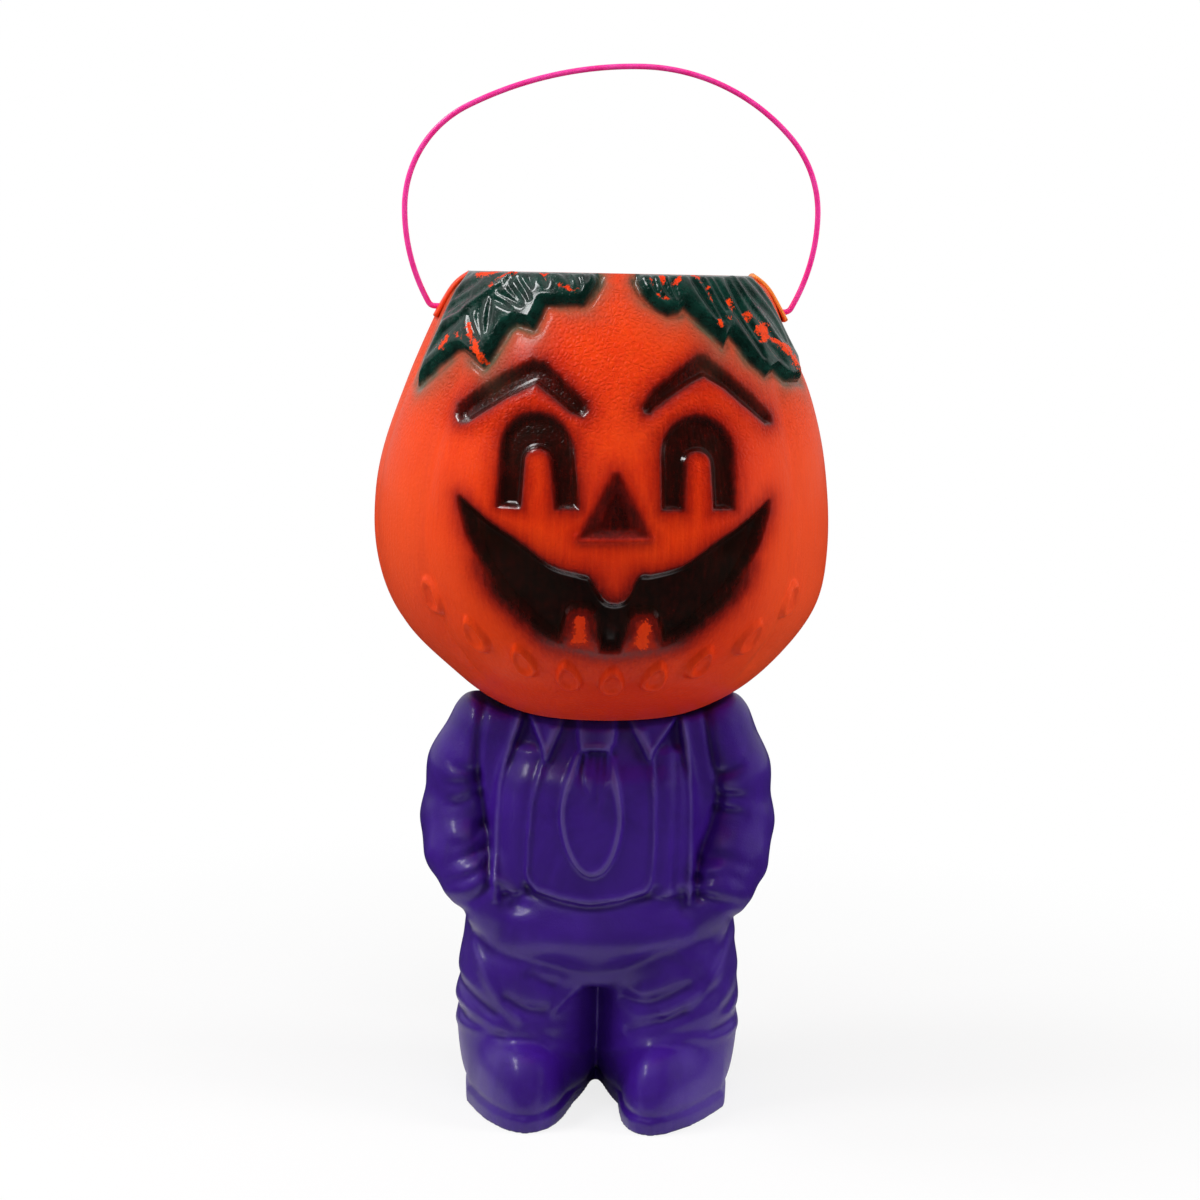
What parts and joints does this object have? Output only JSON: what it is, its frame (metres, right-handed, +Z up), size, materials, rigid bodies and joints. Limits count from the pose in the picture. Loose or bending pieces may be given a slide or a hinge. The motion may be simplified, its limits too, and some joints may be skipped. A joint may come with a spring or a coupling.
{
  "type": "pumpkin candy pail",
  "caption": "Blow-moulded jack-o'-lantern head as an open candy pail, turning on the neck of a standing suited figure, with a thin strand bail for carrying.",
  "frame": {"origin": "on the floor under the middle of the neck, between the shoes", "axes": "+Z up along the neck's axis, -Y towards the figure's front, +X to the right as seen from the front"},
  "size_m": [0.164, 0.164, 0.373],
  "materials": {
    "orange_plastic": "satin blow-moulded polyethylene with sprayed leaves and face",
    "violet_plastic": "satin blow-moulded polyethylene",
    "pink_plastic": "extruded plastic strand"
  },
  "bodies": {
    "figure": {"figure_body": "violet_plastic"},
    "head": {"pumpkin_pail": "orange_plastic"},
    "handle": {"handle_strand": "pink_plastic"}
  },
  "joints": [
    {"name": "head_turn", "type": "hinge", "parent": "figure", "child": "head", "pos_m": [0, 0, 0.144], "axis": [0, 0, 1], "continuous": true},
    {"name": "handle_swing", "type": "hinge", "parent": "head", "child": "handle", "pos_m": [0, 0, 0.287], "axis": [0.9976, 0.0698, 0], "range_deg": [-110, 110]}
  ]
}
